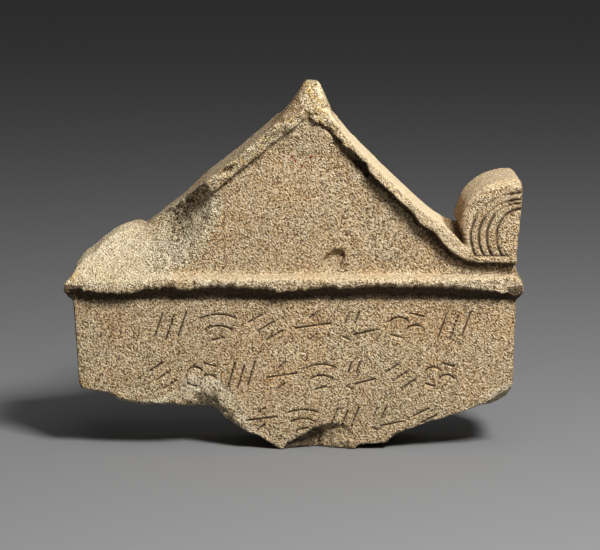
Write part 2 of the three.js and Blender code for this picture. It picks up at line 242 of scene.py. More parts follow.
SIGNS = [
    [bar(0.02, 0.1, 0.26, 0.95), bar(0.34, 0.02, 0.58, 0.85), bar(0.7, 0.15, 0.94, 1.0)],
    [arc(0.5, -0.1, 1.0, 60, 120), arc(0.5, -0.1, 0.6, 50, 130), bar(0.3, 0.0, 0.66, 0.1)],
    [bar(0.0, 0.62, 0.48, 0.95), bar(0.26, 0.32, 0.74, 0.65), bar(0.52, 0.02, 1.0, 0.35)],
    [bar(0.0, 0.42, 1.0, 0.58), bar(0.4, 0.78, 0.62, 0.98), bar(0.38, 0.02, 0.6, 0.22)],
    [
        arc(0.25, 0.5, 0.3, 30, 150), arc(0.72, 0.22, 0.3, 30, 150), bar(0.56, 0.94, 0.96, 0.82),
        bar(0.0, 0.2, 0.3, 0.1),
    ],
    [
        bar(0.06, 0.6, 0.18, 0.98), bar(0.34, 0.6, 0.46, 0.98), bar(0.3, 0.18, 1.0, 0.38),
        bar(0.0, 0.12, 0.2, 0.0),
    ],
]

# A few worn dabs of red paint on the field of the pediment
RED_DABS_X = (-5, 20)
RED_DABS_Z = (284, 296)

LATTICE = 64


def linear(code):
    """An sRGB hex colour as linear red, green and blue."""
    parts = [int(code[i:i + 2], 16) / 255 for i in (1, 3, 5)]
    return tuple(p / 12.92 if p <= 0.04045 else ((p + 0.055) / 1.055) ** 2.4 for p in parts)


# Fields of numbers: a solid is where its field is below zero, and the value is about the distance in millimetres

def smooth_max(a, b, blend):
    near = np.clip(blend - np.abs(a - b), 0, None) / blend
    return np.maximum(a, b) + near * near * blend / 4


def smooth_min(a, b, blend):
    return -smooth_max(-a, -b, blend)


def rounded(a, b, radius):
    """What two solids share, with the edge between them rounded."""
    corner = np.hypot(np.maximum(a + radius, 0), np.maximum(b + radius, 0)) - radius
    sharp = np.maximum(a, b)
    return np.where(sharp > -radius, corner, sharp)


def ramp(value, start, end):
    """0 before start and 1 after end, with a smooth rise between."""
    share = np.clip((value - start) / (end - start), 0, 1)
    return share * share * (3 - 2 * share)


def noise(seed, spacing, *axes):
    """Smooth random waves from -1 to 1, about a spacing apart, over two or three coordinates."""
    table = np.random.default_rng(seed).uniform(-1, 1, (LATTICE,) * len(axes)).astype(np.float32)
    cells = []
    shares = []
    for axis in axes:
        scaled = np.asarray(axis, np.float32) / spacing + 8 * LATTICE
        cell = np.floor(scaled).astype(np.int32)
        cells.append(cell)
        shares.append(ramp(scaled - cell, 0, 1))
    total = 0
    for corner in itertools.product((0, 1), repeat=len(axes)):
        weight = 1
        for share, side in zip(shares, corner):
            weight = weight * (share if side else 1 - share)
        total = total + weight * table[tuple((cell + side) % LATTICE for cell, side in zip(cells, corner))]
    return total


def rough(seed, spacing, *axes):
    """Three sizes of waves together, as broken stone has."""
    return sum(noise(seed + i, spacing / 2 ** i, *axes) / 2 ** i for i in range(3)) / 1.75


def segments(points, closed=False):
    return zip(points, points[1:] + points[:1] if closed else points[1:])


def line_distance(u, v, points, closed=False):
    """Distance in a plane from the line through some points."""
    best = np.full(np.broadcast(u, v).shape, np.inf, np.float32)
    for (u0, v0), (u1, v1) in segments(points, closed):
        du = u1 - u0
        dv = v1 - v0
        along = np.clip(((u - u0) * du + (v - v0) * dv) / (du * du + dv * dv), 0, 1)
        best = np.minimum(best, np.hypot(u - u0 - along * du, v - v0 - along * dv))
    return best


def outline_distance(u, v, outline):
    """Distance in a plane from a closed outline, negative inside it."""
    inside = np.zeros(np.broadcast(u, v).shape, bool)
    for (u0, v0), (u1, v1) in segments(outline, closed=True):
        if v0 != v1:
            crossing = (v0 > v) != (v1 > v)
            inside ^= crossing & (u < u0 + (v - v0) * (u1 - u0) / (v1 - v0))
    away = line_distance(u, v, outline, closed=True)
    return np.where(inside, -away, away)


def on_line(line, value):
    """The height of a line, given as (place, height) points, at each value."""
    places, heights = zip(*line)
    return np.interp(value, places, heights).astype(np.float32)


def waver(a, b, c):
    """The slow wave that the solid's broken edges follow."""
    first = np.sin(a * 0.13 + b * 0.07)
    second = np.sin(b * 0.17 - c * 0.11 + 1.7)
    third = np.sin(c * 0.19 + a * 0.05 + 4.1)
    return (first + second + third) / 3


# Heights of the carved face and of the breaks, over X and Z

def break_depth(x, z, line, slope, blend, rough_height, wave, seed):
    """Y of the surface left where stone broke away to the left of a line on the face."""
    inside = None
    for (x0, z0), (x1, z1) in segments(line):
        away = ((x1 - x0) * (z - z0) - (z1 - z0) * (x - x0)) / math.hypot(x1 - x0, z1 - z0)
        inside = away if inside is None else smooth_min(inside, away, blend)
    waves = rough(seed, wave, x, z) * np.clip(1 + inside / 6, 0, 1)
    return np.clip(FACE_Y + slope * inside + rough_height * waves, FRONT_Y - 12, BACK_Y + 40)


def breaks_depth(x, z):
    """Y of whichever break reaches deepest."""
    found = [
        break_depth(x, z, b["line"], b["slope"], b["blend"], b["rough"], b["wave"], 20 + 5 * i)
        for i, b in enumerate(BREAKS)
    ]
    return np.maximum.reduce(found)


def flake_depth(x, z, centre, half, turn, depth):
    """Depth of a chip that slopes in along its length and ends at a steep wall."""
    c, s = math.cos(math.radians(turn)), math.sin(math.radians(turn))
    u = ((x - centre[0]) * c + (z - centre[1]) * s) / half[0]
    v = (-(x - centre[0]) * s + (z - centre[1]) * c) / half[1]
    rim = 1 + 0.16 * noise(77, 5, x, z)
    inside = np.clip(rim - u * u - v * v, 0, 1)
    return depth * inside ** 0.4 * np.clip(0.3 + 0.7 * (u + 1) / 2, 0, 1)


def foot_spall_depth(x, z):
    """Depth of the spall above the foot: a smooth scoop that deepens to the right under its arch, then lumps."""
    lumpy = ramp(x, 24, 38)
    inside = -outline_distance(x, z, SPALL_OUTLINE) + 0.7 * lumpy * rough(65, 6, x, z)
    most = on_line(SPALL_FALL, x) + 3.4 * lumpy * rough(66, 8, x, z)
    return np.clip(np.minimum((1.2 + 1.6 * lumpy) * inside, most), 0, None)


def face_depth(x, z):
    """Y of the shaft's face and of the pediment's field, with their chips and the crumbled channel."""
    y = FACE_Y + 0.5 * noise(3, 55, x, z) + 0.2 * noise(4, 17, x, z)
    channel = ramp(-outline_distance(x, z, CHANNEL) + 1.5 * rough(5, 6, x, z), -1.2, 1.2)
    y = y + channel * (CHANNEL_DEPTH + 2.5 * rough(6, 8, x, z))
    y = y - CURL_FIELD_RISE * ramp(x, 136, 165) * ramp(z, CORNICE_TOP_Z - 2, CORNICE_TOP_Z + 4)
    y = y - APEX_FIELD_RISE * ramp(z, *APEX_RISE_SPAN)
    for flake in FLAKES:
        y = y + flake_depth(x, z, *flake)
    y = y + 1.1 * ramp(noise(7, 13, x, z), 0.62, 0.75) * ramp(z, 60, 30)
    return y + foot_spall_depth(x, z)


def rake_front(x, z):
    """Y of the rakes' worn front. The left one leans back towards its lower arris."""
    away = line_distance(x, z, RAKE_INNER_LEFT)
    leaning = RAKE_LEAN * np.clip(1 - away / RAKE_LEAN_REACH, 0, 1) * ramp(x, 14, -14)
    chips = 2.2 * ramp(rough(8, 11, x, z), 0.05, 0.7) + 1.1 * rough(9, 5, x, z)
    return FRONT_Y + on_line(RAKE_SETBACK, x) + leaning + chips * ramp(x, 200, 120)


def stroke_lines():
    """Every cut stroke as a line of points on the shaft."""
    lines = []
    for left, right, foot, height, signs in ROWS:
        pitch = (right - left) / (len(signs) - 1 + PLACE_FILL)
        for place, sign in enumerate(signs):
            for stroke in SIGNS[sign]:
                lines.append([
                    (left + pitch * (place + PLACE_FILL * u), foot + height * v) for u, v in stroke
                ])
    return lines


def leaf_groove_distance(x, z):
    """Distance from the nearest of the leaf's grooves, measured on its face. Each has a steep inner wall and a gentle
    outer one, so what lies outside a groove counts as nearer."""
    across = x - LEAF_X
    above = z - LEAF_Z
    best = np.full(np.shape(x), np.inf)
    for half_width, half_height in LEAF_GROOVES:
        out = (np.hypot(across / half_width, above / half_height) - 1) * (half_width + half_height) / 2
        best = np.minimum(best, np.where(out > 0, out / LEAF_GROOVE_LEAN, -out * LEAF_GROOVE_LEAN))
    return best


# The block, over a grid of points

def worn_height(x, y, z):
    """Height in the front outline that each point answers to, once the stump, corners and underside are worn."""
    front = ramp(y, FRONT_Y, STUMP_CREST_Y)
    back = ramp(y, STUMP_CREST_Y + STUMP_CREST_DEPTH, BACK_Y)
    scale = (STUMP_FRONT_SCALE + (1 - STUMP_FRONT_SCALE) * front) * (1 + (STUMP_BACK_SCALE - 1) * back)
    up = np.where(z > STUMP_BASE_Z, STUMP_BASE_Z + (z - STUMP_BASE_Z) / scale, z)
    depth = (y - FACE_Y) / (BACK_Y - FACE_Y)
    valley = ramp(x, 138, 150) * ramp(x, 190, 182) * ramp(z, 198, 208) * ramp(z, 240, 222)
    up = up - valley * np.clip(depth, 0, 1) * (2 + 8 * ramp(x, 150, 166))
    up = up - ramp(x, -150, -160) * ramp(z, 170, 182) * 2.5 * waver(x, 3 * y, z)
    behind = ramp(y, FACE_Y, FACE_Y + 26)
    broken = behind * (5 * waver(x, 2 * y, 10 + 0 * z) - 2 + 3.5 * rough(11, 20, x, y))
    carried = ramp(x, FOOT_LEFT - 6, FOOT_LEFT + 6) * ramp(x, FOOT_RIGHT + 6, FOOT_RIGHT - 6)
    rise = (1 - carried) * broken + carried * 1.6 * np.clip(rough(12, 9, x, y), 0, 1)
    return up - rise * ramp(z, 92, 60)


def outline_field(x, up, z, outline):
    """An outline's distance at the height that each point answers to."""
    flat = outline_distance(x[:, 0, :], z[:, 0, :], outline)
    step = z[0, 0, 1] - z[0, 0, 0]
    place = np.clip((up - z[0, 0, 0]) / step, 0, z.shape[2] - 1.001)
    cell = place.astype(np.int32)
    share = (place - cell).astype(np.float32)
    column = np.arange(x.shape[0])[:, None, None]
    return flat[column, cell] * (1 - share) + flat[column, cell + 1] * share


def slab_field(x, y, z, up, radius):
    edge = outline_field(x, up, z, SLAB_OUTLINE)
    front = face_depth(x[:, 0, :], z[:, 0, :])[:, None, :] - y
    dressed = 0.8 * rough(13, 24, x[:, 0, :], z[:, 0, :])[:, None, :]
    back = y - BACK_Y + 1.2 + dressed
    return rounded(rounded(edge, front, radius), back, 2 * radius)


def rakes_field(x, y, z, up, radius):
    flat = (x[:, 0, :], z[:, 0, :])
    crumble = rough(14, 7, *flat)
    bite = RAKE_BITE_REACH + 2.2 * crumble - line_distance(*flat, RAKE_BITE)
    inner = np.maximum(-outline_distance(*flat, FIELD_OUTLINE), bite)[:, None, :]
    edge = np.maximum(outline_field(x, up, z, RAKE_OUTLINE), inner)
    edge = edge + np.clip(crumble, 0, 1)[:, None, :] * 2.2 * ramp(x, 130, 60)
    front = rake_front(*flat)[:, None, :] - y
    return np.maximum(rounded(edge, front, radius), y - BAND_ROOT_Y)


def cornice_field(x, y, z, radius):
    """The front profile, with its lower arris chipped to an uneven line, meets the two side profiles in mitres."""
    arris = on_line(ARRIS_LINE, x) + 1.5 * rough(15, 9, x, x * 0 + 3) + 1.4 * noise(16, 3.4, x, x * 0)
    top = on_line([
        (FRONT_Y + 0.5, CORNICE_FASCIA_Z), (FRONT_Y + 4, CORNICE_SHELF_Z), (FACE_Y, CORNICE_TOP_Z),
    ], y)
    into = np.clip((y - FRONT_Y - 3) / (RELIEF - 3), 0, 1)
    under = arris - CORNICE_LIP * ramp(y, FRONT_Y, FRONT_Y + 3)
    undercut = under + (np.minimum(CORNICE_UNDERCUT_Z, arris - CORNICE_LIP) - under) * into
    bottom = np.where(y > FACE_Y + 1, CORNICE_SOFFIT_Z, undercut)
    fascia = FRONT_Y + 0.4 + 1.6 * np.clip(rough(17, 8, x[:, 0, :], z[:, 0, :]), -0.2, 1)[:, None, :]
    fascia = fascia + CORNICE_END_SETBACK * ramp(x, *CORNICE_END_SPAN)
    shell = rounded(rounded(z - top, fascia - y, CORNICE_NOSE), bottom - z, 0.8)
    side = on_line(CORNICE_SIDE, z)
    lost = ramp(y, *LEFT_RETURN_LOST) * ramp(-x, 0, 10)
    side = side - lost * np.clip(side - FLANK_X - 2, 0, None)
    ends = np.abs(x) - side + 2 * np.abs(waver(4 * y, x, 0 * z))
    return np.maximum(rounded(shell, ends, 2 * radius), y - BACK_Y + 2)


def leaf_field(x, y, z, radius):
    above = np.maximum(z - LEAF_Z, 0) / LEAF_HALF_HEIGHT
    across = np.abs(x - LEAF_X) / LEAF_HALF_WIDTH
    reach = (above ** LEAF_POWER + across ** LEAF_POWER) ** (1 / LEAF_POWER)
    curve = (reach - 1) * LEAF_HALF_HEIGHT
    front = LEAF_FRONT_Y - y
    block = rounded(curve, front, LEAF_ROUND)
    block = rounded(block, y - BACK_Y + 1.5, 2 * radius)
    neck = on_line(LEAF_NECK, z) - x
    flank = x - on_line(LEAF_FLANK, z)
    block = rounded(rounded(block, neck, 2 * radius), flank, radius + LEAF_CORNER * ramp(z, 246, 262))
    return np.maximum(block, LEAF_ROOT_Z - z)


def cut_hollow(field, x, y, z, centre, half, turn):
    """Takes an uneven hollow out of the part of the field that it reaches."""
    reach = max(half) * 1.4
    picks = [np.flatnonzero(np.abs(axis.ravel() - at) < reach) for axis, at in zip((x, y, z), centre)]
    window = tuple(slice(pick[0], pick[-1] + 1) for pick in picks)
    dx = x[window[0]] - centre[0]
    dy = y[:, window[1]] - centre[1]
    dz = z[:, :, window[2]] - centre[2]
    c, s = math.cos(math.radians(turn)), math.sin(math.radians(turn))
    u = (dx * c + dz * s) / half[0]
    v = (-dx * s + dz * c) / half[2]
    size = np.sqrt(u * u + v * v + (dy / half[1]) ** 2)
    waves = 0.22 * rough(40, 7, dx + centre[0], dy + centre[1], dz + centre[2])
    hollow = (size - 1 + waves) * min(half)
    field[window] = smooth_max(field[window], -hollow, 1.2)


def stone_field(x, y, z, radius):
    up = worn_height(x, y, z)
    stone = slab_field(x, y, z, up, radius)
    stone = smooth_min(stone, rakes_field(x, y, z, up, radius), 1.2)
    stone = smooth_min(stone, cornice_field(x, y, z, radius), CORNICE_COVE)
    stone = smooth_min(stone, leaf_field(x, y, z, radius), 1.2)
    broken = breaks_depth(x[:, 0, :], z[:, 0, :])[:, None, :] - y
    stone = smooth_max(stone, broken, 1.4)
    for centre, half, turn in HOLLOWS:
        cut_hollow(stone, x, y, z, centre, half, turn)
    return stone


def mesh_of_field(step, radius):
    """Corner points in millimetres and four-sided faces of the stone's surface."""
    steps = np.array([step, 1.7 * step, step])
    start = np.array(LOW) - MARGIN
    counts = np.ceil((np.array(HIGH) + MARGIN - start) / steps).astype(int)
    axes = [(s + d * np.arange(n)).astype(np.float32) for s, d, n in zip(start, steps, counts)]
    x, y, z = axes[0][:, None, None], axes[1][None, :, None], axes[2][None, None, :]
    field = stone_field(x, y, z, radius).astype(np.float32)
    grid = openvdb.FloatGrid(background=MARGIN)
    grid.copyFromArray(field, tolerance=0.0)
    points, quads = grid.convertToQuads(isovalue=0.0)
    return points * steps + start, quads


# The surface, over the mesh's corner points

def corner_normals(mesh):
    normals = np.zeros(len(mesh.vertices) * 3, np.float32)
    mesh.vertex_normals.foreach_get("vector", normals)
    return normals.reshape(-1, 3)


def corner_points(mesh):
    points = np.zeros(len(mesh.vertices) * 3, np.float32)
    mesh.vertices.foreach_get("co", points)
    return points.reshape(-1, 3) / MM


def set_corner_points(mesh, points):
    mesh.vertices.foreach_set("co", (points * MM).astype(np.float32).ravel())
    mesh.update()


def paint_corners(mesh, name, *channels):
    layer = mesh.attributes.new(name, "FLOAT_COLOR", "POINT")
    layer.data.foreach_set("color", np.stack(channels, 1).astype(np.float32).ravel())


def crumbled_share(x, z):
    """How far the stone has crumbled into pits, from 0 to 1."""
    return ramp(line_distance(x, z, CRUMBLED_LINE) + 4 * rough(53, 9, x, z), CRUMBLED_REACH, 4)


def surface_regions(points, normals):
    """How far each corner point is broken, ochre, darkened by painted shade with dirt in places, and at the back,
    from 0 to 1.
    """
    x, y, z = points.T
    facing = ramp(-normals[:, 1], 0.2, 0.6)
    fallen = breaks_depth(x, z)
    broken = ramp(y - fallen, 12, 9) * ramp(fallen, FRONT_Y - 4, FRONT_Y + 1)
    spall = facing * ramp(foot_spall_depth(x, z), 0.8, 2) * ramp(y, FACE_Y + 18, FACE_Y + 12)
    scoop = spall * ramp(x, 38, 24)
    under = ramp(-normals[:, 2], 0.25, 0.6) * ramp(z, 110, 80)
    band = ramp(y + APEX_FIELD_RISE * ramp(z, *APEX_RISE_SPAN), FACE_Y - 2, FACE_Y - 4)
    rake = band * ramp(z, CORNICE_TOP_Z + 1, CORNICE_TOP_Z + 8) * ramp(x, 172, 150)
    rake = rake * (1 - 0.65 * ramp(x, 40, 80))
    fascia = band * ramp(z, CORNICE_TOP_Z, CORNICE_FASCIA_Z) * ramp(z, CORNICE_SOFFIT_Z, 156)
    stump = ramp(z, 322, 334) * facing * ramp(y, STUMP_CREST_Y + 8, STUMP_CREST_Y)
    corner = ramp(x, -152, -164) * ramp(z, 172, 180)
    channel = facing * ramp(-outline_distance(x, z, CHANNEL), -1.5, 0.5) * ramp(y, FACE_Y - 3, FACE_Y)
    chipped = np.maximum.reduce([rake * facing, 0.5 * fascia, stump, 0.45 * spall])
    shown = np.maximum.reduce([broken, under, chipped, corner, channel])
    ochre = np.maximum(rake * facing, stump) * (0.6 + 0.4 * noise(51, 12, x, y, z))
    ochre = np.maximum(ochre, broken * ramp(line_distance(x, z, LOST_CORNER[-3:]), 8, 1))
    # Painted shade under the cornice, where its shadow falls on the shaft
    cornice_shade = ramp(z, 146, 157) * ramp(z, 170, 165) * ramp(y, FRONT_Y + 3, FRONT_Y + 7)
    cornice_shade = cornice_shade * np.maximum(facing, ramp(-normals[:, 2], 0.2, 0.5)) * ramp(y, FACE_Y + 5, FACE_Y + 3)
    # Painted shade along the foot of the right rake, where its shadow falls on the field
    from_rake = line_distance(x, z, RAKE_INNER_RIGHT + [(219, 190.5)]) + 1.5 * noise(54, 9, x, z)
    rake_shade = ramp(from_rake, 8, 4) * ramp(y, FACE_Y - 7, FACE_Y - 5)
    rake_shade = rake_shade * ramp(z, 178, 186) * ramp(z, 298, 288)
    # Painted shade with some dirt: in the crumbled channel, under the cornice and the rake, on the spall, darkest in
    # its shaded scoop
    shade_and_dirt_share = np.maximum.reduce([0.5 * channel, cornice_shade, 0.7 * rake_shade, 0.3 * spall, 0.8 * scoop])
    back = ramp(normals[:, 1], 0.3, 0.8)
    return shown, np.clip(ochre, 0, 1), shade_and_dirt_share, back


def wear_and_painted_light(points, normals):
    """How far each corner point is worn smooth and pale, partly as painted highlight on tops facing the light, has
    painted warm shade on sides turned left or down, in the gap by the leaf and under the broken roof end, or is
    crumbled, from 0 to 1."""
    x, y, z = points.T
    side, _, up = normals.T
    # Painted highlight, partly real wear: tops facing up and toward the key light are made paler
    roof = 0.85 * ramp(side, 0.25, 0.5) * ramp(up, 0.3, 0.6) * ramp(z, 205, 225) * ramp(x, 152, 147)
    shelf = 0.35 * ramp(up, 0.3, 0.7) * ramp(z, 169, 172) * ramp(z, 181, 177) * ramp(y, FACE_Y + 2, FACE_Y - 2)
    leaf_top = 0.4 * ramp(up, 0.25, 0.6) * ramp(x, 165, 172) * ramp(z, 235, 250)
    # Painted shade in the gap between the right roof and the leaf
    gap = ramp(x, 147, 152) * ramp(x, 178, 172) * ramp(z, 196, 204) * ramp(z, 240, 230)
    gap = gap * ramp(y, FRONT_Y + 8, FRONT_Y + 14)
    broken = surface_regions(points, normals)[0]
    # Painted warm shade on sides turned left or down and on the stump's left side; painted shadow under the broken
    # roof end
    turned = ramp(-0.9 * side - 0.6 * up, 0.25, 0.75) * (1 - broken)
    stump_side = ramp(-side, 0.35, 0.6) * ramp(z, 318, 328)
    ledge = 0.25 * broken * ramp(line_distance(x, z, LEDGE_LINE), 10, 3) * ramp(x, -117, -120)
    brown = np.maximum.reduce([turned, gap, stump_side, ledge])
    crumbled = broken * crumbled_share(x, z)
    smooth_break = 0.4 * broken * ramp(x, -135, -160) * ramp(z, 170, 176) * (1 - crumbled)
    rake_face = 0.45 * ramp(-normals[:, 1], 0.3, 0.7) * ramp(x, 40, 80) * ramp(x, 176, 168) * ramp(z, 188, 194)
    rake_face = rake_face * ramp(y, FACE_Y - 7, FACE_Y - 10)
    return np.maximum.reduce([roof, shelf, leaf_top, smooth_break, rake_face]), brown, crumbled


def weather(points, normals, sizes):
    """Roughens the breaks and the dressed back, and leaves the carved faces nearly even."""
    x, y, z = points.T
    shown, _, shade_and_dirt_share, back = surface_regions(points, normals)
    height = shown * sizes.break_height / MM
    lift = height * (0.75 * rough(31, 12, x, y, z) + 0.35 * rough(34, 4.5, x, y, z))
    pitted = np.maximum(shade_and_dirt_share, crumbled_share(x, z)) * shown
    lift = lift + 0.7 * back * rough(37, 14, x, y, z) - 2.6 * pitted * np.abs(rough(43, 5, x, y, z))
    lift = lift + 0.25 * noise(46, 9, x, y, z)
    return points + normals * lift[:, None]


def nearest_stroke(x, z):
    """Distance of each corner point from the nearest cut stroke, and the X and Z of the nearest place on it."""
    best = np.full(x.shape, np.inf)
    near_x, near_z = x.copy(), z.copy()
    for line in stroke_lines():
        for (x0, z0), (x1, z1) in segments(line):
            dx, dz = x1 - x0, z1 - z0
            along = np.clip(((x - x0) * dx + (z - z0) * dz) / (dx * dx + dz * dz), 0, 1)
            at_x, at_z = x0 + along * dx, z0 + along * dz
            away = np.hypot(x - at_x, z - at_z)
            closer = away < best
            best[closer], near_x[closer], near_z[closer] = away[closer], at_x[closer], at_z[closer]
    return best, near_x, near_z


def cut_details(points, normals, sizes):
    """Cuts the strokes and the leaf's grooves, raises the grain, and returns the points and how deep each is cut.
    Points close to a stroke's bottom or brim are drawn on to it first, so that it comes out crisp."""
    x, y, z = points.T
    facing = ramp(-normals[:, 1], 0.15, 0.5)
    half = sizes.stroke_width / MM / 2
    away, near_x, near_z = nearest_stroke(x, z)
    shaft = facing * ramp(z, CORNICE_SOFFIT_Z, CORNICE_SOFFIT_Z - 3) * ramp(y, FACE_Y + 4, FACE_Y + 2)
    wanted = np.where(away < half / 2, 0, np.where(away < 1.5 * half, half, away))
    share = np.where((shaft > 0.5) & (away > 0), wanted / np.maximum(away, 1e-6), 1)
    x, z = near_x + (x - near_x) * share, near_z + (z - near_z) * share
    away = np.where(shaft > 0.5, wanted, away)
    uneven = 1 + 0.3 * noise(61, 6, x, z)
    stroke = np.clip(1 - away / half, 0, 1) * shaft * uneven
    leaf = facing * ramp(y, LEAF_FRONT_Y + 8, LEAF_FRONT_Y + 5) * ramp(x, 168, 170)
    above_foot = ramp(z, LEAF_GROOVE_FOOT_Z, LEAF_GROOVE_FOOT_Z + 1)
    worn = 0.6 * ramp(z, 230, 242) * ramp(x, 214, 202)
    groove = np.clip(1.15 - leaf_groove_distance(x, z) / (LEAF_GROOVE_WIDTH / 2), 0, 1) * above_foot * (1 - worn)
    foot_line = 0.8 * np.clip(1 - line_distance(x, z, LEAF_FOOT_LINE) / 1.2, 0, 1)
    groove = leaf * np.maximum(groove, foot_line) * (1 + 0.25 * noise(62, 5, x, z))
    shown, _, _, back = surface_regions(points, normals)
    grain = sizes.grain_height / MM * (0.8 + 1.0 * shown) * (1 - 0.6 * back)
    lift = grain * (noise(71, 3.1, x + 0.5 * z, y, z - 0.3 * x) + 0.6 * noise(72, 2.2, x, y, z))
    moved = np.stack([x, y, z], 1) + normals * lift[:, None]
    moved[:, 1] += sizes.stroke_depth / MM * stroke + LEAF_GROOVE_DEPTH * groove
    moved[:, 2] = np.maximum(moved[:, 2], 0)
    return moved, np.clip(np.maximum(stroke, groove), 0, 1)


def thin_mesh(piece, normals, limit):
    """Collapses edges at the back first and at the sides next, until the piece has few enough triangles."""
    mesh = piece.data
    group = piece.vertex_groups.new(name="thin")
    weight = 0.55 * ramp(normals[:, 1], -0.6, -0.3) + 0.45 * ramp(normals[:, 1], 0.3, 0.7)
    x, _, z = corner_points(mesh).T
    weight = weight * (1 - ramp(x, 165, 172) * ramp(z, 240, 250))
    levels = np.round(weight * 8).astype(int)
    for level in np.unique(levels):
        group.add(np.flatnonzero(levels == level).tolist(), float(level / 8), "REPLACE")
    thin = piece.modifiers.new("thin", "DECIMATE")
    thin.ratio = min(1.0, limit / (2 * len(mesh.polygons)))
    thin.vertex_group = group.name
    thin.vertex_group_factor = 200.0
    thin.use_collapse_triangulate = True
    shaped = bpy.data.meshes.new_from_object(piece.evaluated_get(bpy.context.evaluated_depsgraph_get()))
    piece.modifiers.remove(thin)
    piece.vertex_groups.clear()
    piece.data = shaped
    bpy.data.meshes.remove(mesh)


def mesh_object(name, points, faces):
    mesh = bpy.data.meshes.new(name)
    mesh.vertices.add(len(points))
    mesh.loops.add(faces.size)
    mesh.polygons.add(len(faces))
    mesh.vertices.foreach_set("co", (points * MM).astype(np.float32).ravel())
    mesh.loops.foreach_set("vertex_index", faces.ravel().astype(np.int32))
    mesh.polygons.foreach_set("loop_start", np.arange(0, faces.size, faces.shape[1], dtype=np.int32))
    mesh.update(calc_edges=True)
    mesh.validate()
    piece = bpy.data.objects.new(name, mesh)
    bpy.context.scene.collection.objects.link(piece)
    return piece


# Finishes

def add_node(tree, kind, inputs=None, **settings):
    """Adds a node with its settings, and sets or links its inputs."""
    made = tree.nodes.new(kind)
    for key, value in settings.items():
        setattr(made, key, value)
    for key, value in (inputs or {}).items():
        if isinstance(value, bpy.types.NodeSocket):
            tree.links.new(value, made.inputs[key])
        else:
            made.inputs[key].default_value = value
    return made


def make_material(name):
    material = bpy.data.materials.new(name)
    material.use_nodes = True
    material.node_tree.nodes.clear()
    return material, material.node_tree


def per_mm(size):
    """A noise texture's scale for waves of a real size in millimetres."""
    return 1 / (size * MM)


# Sizes of the marble's patterns, in millimetres, and the slant of its grain
GRAIN_SIZE = 1.35
CRYSTAL_SIZE = 1.25
PIT_SIZE = 1.7
CRUMB_SIZE = 2.6
SOIL_SIZE = 3.2
STAIN_SIZE = 9.0
PATCH_SIZE = 38.0
CLOUD_SIZE = 95.0
GRAIN_TURN = math.radians(-42)


